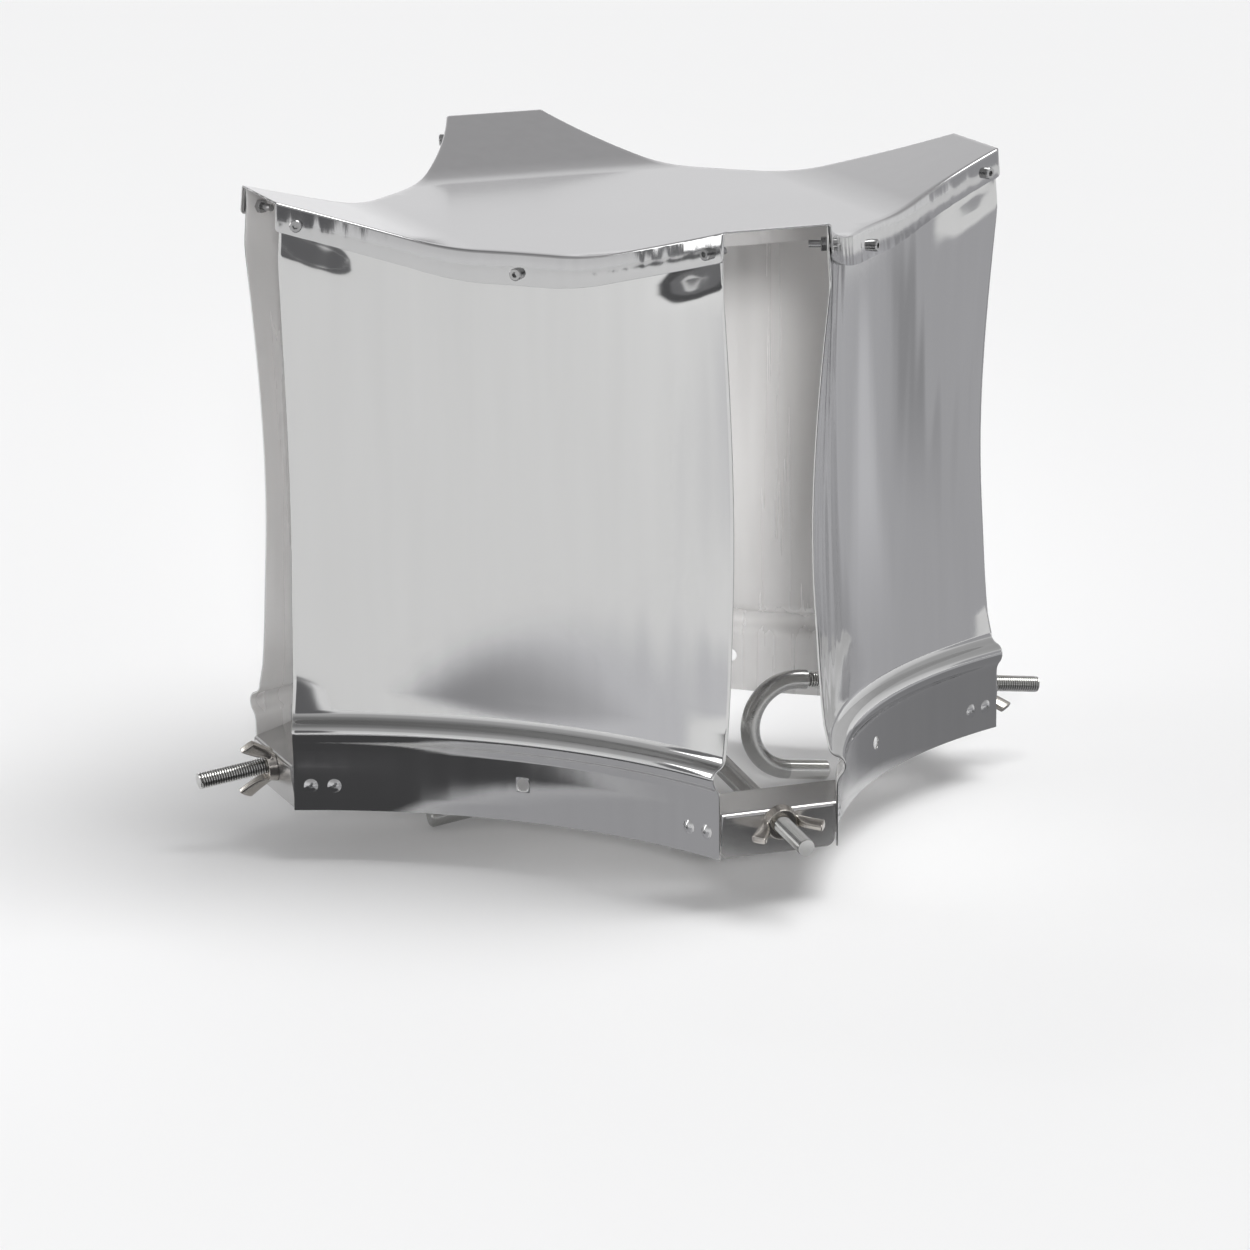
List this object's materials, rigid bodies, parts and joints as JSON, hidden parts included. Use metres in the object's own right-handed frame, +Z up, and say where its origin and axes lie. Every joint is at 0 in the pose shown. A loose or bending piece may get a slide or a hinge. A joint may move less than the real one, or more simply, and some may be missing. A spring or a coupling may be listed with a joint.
{
  "type": "chimney cowl",
  "caption": "Square stainless chimney cowl with hollow-faced panels, open corners and a turned-up cap, held on a round flue by hook bolts and wing nuts.",
  "frame": {"origin": "on the cowl's upright axis, in the plane of the skirts' lower edges", "axes": "+Z up, -Y out of the front panel, +X out of the right panel, the bolts on the diagonals"},
  "size_m": [0.3782, 0.3782, 0.3777],
  "materials": {
    "sheet": "bright rolled sheet, nearly a mirror",
    "bracket": "satin",
    "rivets": "bright",
    "screws": "bright",
    "hook_bolt": "satin",
    "wing_nut": "cast, polished"
  },
  "bodies": {
    "cowl": {"cap": "sheet", "front_panel": "sheet", "front_rivets": "rivets", "front_cap_screws": "screws", "front_cap_nuts": "screws", "right_panel": "sheet", "right_rivets": "rivets", "right_cap_screws": "screws", "right_cap_nuts": "screws", "back_panel": "sheet", "back_rivets": "rivets", "back_cap_screws": "screws", "back_cap_nuts": "screws", "left_panel": "sheet", "left_rivets": "rivets", "left_cap_screws": "screws", "left_cap_nuts": "screws", "front_right_bracket": "bracket", "back_right_bracket": "bracket", "back_left_bracket": "bracket", "front_left_bracket": "bracket"},
    "front_right_hook": {"front_right_hook_bolt": "hook_bolt"},
    "front_right_nut": {"front_right_wing_nut": "wing_nut"},
    "back_right_hook": {"back_right_hook_bolt": "hook_bolt"},
    "back_right_nut": {"back_right_wing_nut": "wing_nut"},
    "back_left_hook": {"back_left_hook_bolt": "hook_bolt"},
    "back_left_nut": {"back_left_wing_nut": "wing_nut"},
    "front_left_hook": {"front_left_hook_bolt": "hook_bolt"},
    "front_left_nut": {"front_left_wing_nut": "wing_nut"}
  },
  "joints": [
    {"name": "front_right_nut_turn", "type": "hinge", "parent": "cowl", "child": "front_right_nut", "pos_m": [0.15557, -0.15557, 0.0184], "axis": [0.7015, -0.7015, -0.1262], "range_deg": [-4320, 5760]},
    {"name": "front_right_hook_slide", "type": "slide", "parent": "cowl", "child": "front_right_hook", "axis": [0.7015, -0.7015, -0.1262], "range_m": [-0.024, 0.018]},
    {"name": "back_right_nut_turn", "type": "hinge", "parent": "cowl", "child": "back_right_nut", "pos_m": [0.15557, 0.15557, 0.0184], "axis": [0.7015, 0.7015, -0.1262], "range_deg": [-4320, 5760]},
    {"name": "back_right_hook_slide", "type": "slide", "parent": "cowl", "child": "back_right_hook", "axis": [0.7015, 0.7015, -0.1262], "range_m": [-0.024, 0.018]},
    {"name": "back_left_nut_turn", "type": "hinge", "parent": "cowl", "child": "back_left_nut", "pos_m": [-0.15557, 0.15557, 0.0184], "axis": [-0.7015, 0.7015, -0.1262], "range_deg": [-4320, 5760]},
    {"name": "back_left_hook_slide", "type": "slide", "parent": "cowl", "child": "back_left_hook", "axis": [-0.7015, 0.7015, -0.1262], "range_m": [-0.024, 0.018]},
    {"name": "front_left_nut_turn", "type": "hinge", "parent": "cowl", "child": "front_left_nut", "pos_m": [-0.15557, -0.15557, 0.0184], "axis": [-0.7015, -0.7015, -0.1262], "range_deg": [-4320, 5760]},
    {"name": "front_left_hook_slide", "type": "slide", "parent": "cowl", "child": "front_left_hook", "axis": [-0.7015, -0.7015, -0.1262], "range_m": [-0.024, 0.018]}
  ],
  "couplings": [
    {"joint": "front_right_nut_turn", "follows": "front_right_hook_slide", "rad_per_m": -4188.8},
    {"joint": "back_right_nut_turn", "follows": "back_right_hook_slide", "rad_per_m": -4188.8},
    {"joint": "back_left_nut_turn", "follows": "back_left_hook_slide", "rad_per_m": -4188.8},
    {"joint": "front_left_nut_turn", "follows": "front_left_hook_slide", "rad_per_m": -4188.8}
  ]
}
